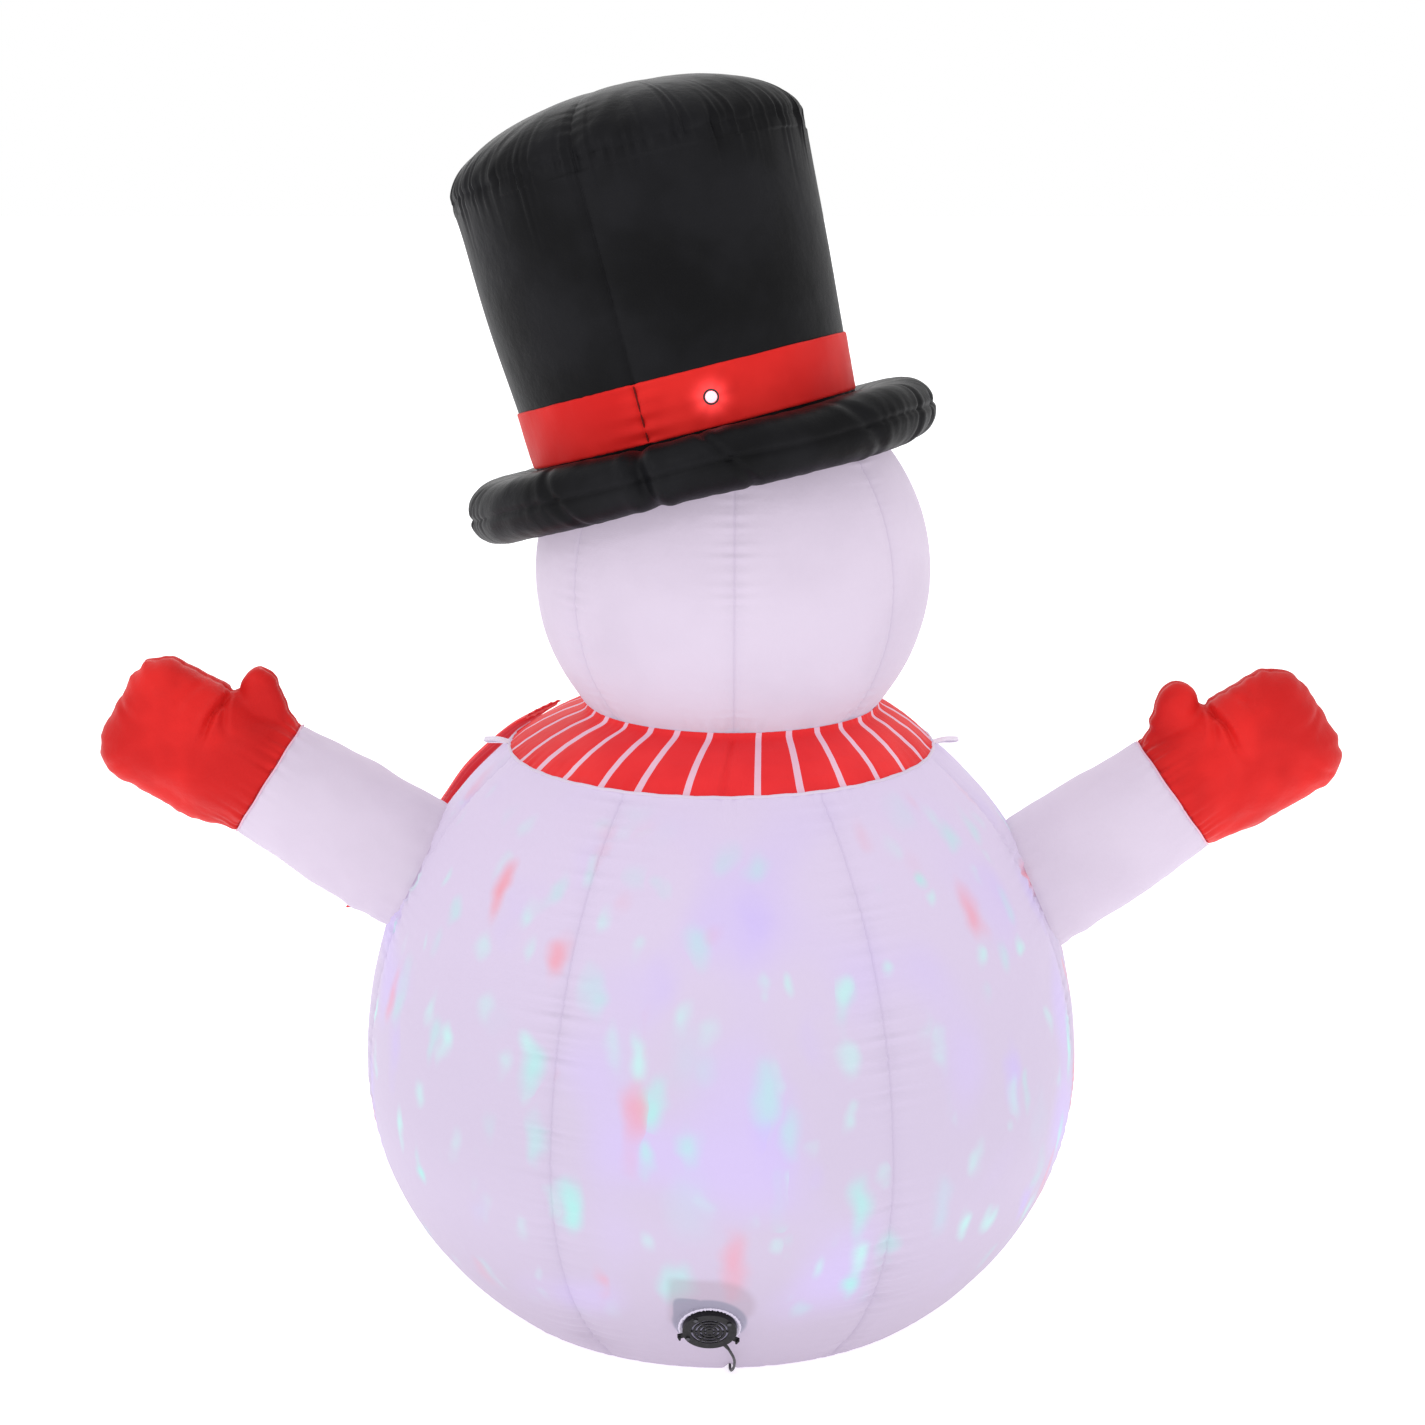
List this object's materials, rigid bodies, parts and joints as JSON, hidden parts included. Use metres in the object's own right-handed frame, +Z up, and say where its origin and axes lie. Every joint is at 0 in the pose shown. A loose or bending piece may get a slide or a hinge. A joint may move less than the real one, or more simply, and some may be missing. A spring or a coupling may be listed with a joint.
{
  "type": "inflatable yard snowman",
  "caption": "Air-blown fabric yard snowman with round body, leaning top hat, mittens, striped scarf collar, built-in blower, inner light projector and low-voltage lead",
  "frame": {"origin": "centre of the flat base panel's underside, on the ground", "axes": "+Z up, the face looks along -Y, +X is the snowman's own left"},
  "size_m": [1.855, 1.0812, 1.8002],
  "materials": {
    "fabric_white": "satin",
    "fabric_red": "satin",
    "fabric_striped": "satin",
    "fabric_black": "satin",
    "fabric_orange": "satin",
    "fabric_applique": "matte",
    "fabric_piping": "satin",
    "webbing": "matte",
    "plastic_black": "matte",
    "plastic_grey": "matte",
    "plastic_white": "matte",
    "lens_clear": "gloss",
    "lens_lamp": "gloss",
    "led_package": "gloss",
    "circuit_board": "gloss",
    "motor_steel": "brushed",
    "screw_steel": "brushed",
    "contact_brass": "polished",
    "lead_rubber": "matte"
  },
  "bodies": {
    "torso": {"body_envelope": "fabric_white", "base_panel": "fabric_white", "scarf_collar": "fabric_striped", "collar_piping": "fabric_piping", "scarf_knot": "fabric_red", "tether_loop_left": "webbing", "tether_loop_right": "webbing", "shoulder_gusset_left": "fabric_white", "shoulder_gusset_right": "fabric_white", "coat_buttons": "fabric_applique", "blower_cuff": "fabric_white", "blower_front_shell": "plastic_grey", "blower_rear_shell": "plastic_grey", "blower_screws": "screw_steel", "blower_cap": "plastic_black", "cap_screws": "screw_steel", "blower_motor": "motor_steel", "lead_gland": "plastic_black", "lead_boot": "lead_rubber", "power_lead_run": "lead_rubber", "power_lead_coil": "lead_rubber", "power_adapter": "plastic_black", "adapter_prongs": "contact_brass", "hanger_strap": "webbing", "projector_housing": "plastic_grey", "projector_motor": "motor_steel", "projector_led_board": "circuit_board", "projector_leds": "led_package", "inner_light_lead": "lead_rubber", "hat_lamp_lead": "lead_rubber"},
    "blower_wheel": {"impeller": "plastic_white", "impeller_shaft": "motor_steel"},
    "light_globe": {"projector_lens_globe": "lens_clear", "globe_shaft": "motor_steel"},
    "head": {"head_envelope": "fabric_white", "carrot_nose": "fabric_orange", "eyes": "fabric_applique", "mouth_dots": "fabric_applique", "hat_brim": "fabric_black", "hat_crown": "fabric_black", "hat_band": "fabric_red", "hat_lamp_grommet": "plastic_black", "hat_lamp_lens": "lens_lamp"},
    "arm_left": {"sleeve_left": "fabric_white", "mitten_left": "fabric_red"},
    "arm_right": {"sleeve_right": "fabric_white", "mitten_right": "fabric_red"},
    "tail_flap": {"scarf_tail": "fabric_red"}
  },
  "joints": [
    {"name": "blower_wheel_spin", "type": "hinge", "parent": "torso", "child": "blower_wheel", "pos_m": [0.017, 0.472, 0.121], "axis": [0, 0.891, -0.454], "continuous": true},
    {"name": "light_globe_spin", "type": "hinge", "parent": "torso", "child": "light_globe", "pos_m": [0, 0, 0.335], "axis": [0, 0, 1], "continuous": true},
    {"name": "head_sway", "type": "hinge", "parent": "torso", "child": "head", "pos_m": [0, 0, 0.866], "axis": [0, 1, 0], "range_deg": [-6, 6], "stiffness_Nm_per_rad": 45, "deforming": ["scarf_collar", "hat_lamp_lead"]},
    {"name": "arm_left_wave", "type": "hinge", "parent": "torso", "child": "arm_left", "pos_m": [0.473, 0, 0.646], "axis": [0, -1, 0], "range_deg": [-8, 8], "stiffness_Nm_per_rad": 9, "deforming": ["shoulder_gusset_left"]},
    {"name": "arm_right_wave", "type": "hinge", "parent": "torso", "child": "arm_right", "pos_m": [-0.48, 0, 0.613], "axis": [0, 1, 0], "range_deg": [-8, 8], "stiffness_Nm_per_rad": 9, "deforming": ["shoulder_gusset_right"]},
    {"name": "scarf_tail_lift", "type": "hinge", "parent": "torso", "child": "tail_flap", "pos_m": [0.2967, -0.1199, 0.842], "axis": [-0.3746, -0.9272, 0], "range_deg": [0, 25]}
  ]
}
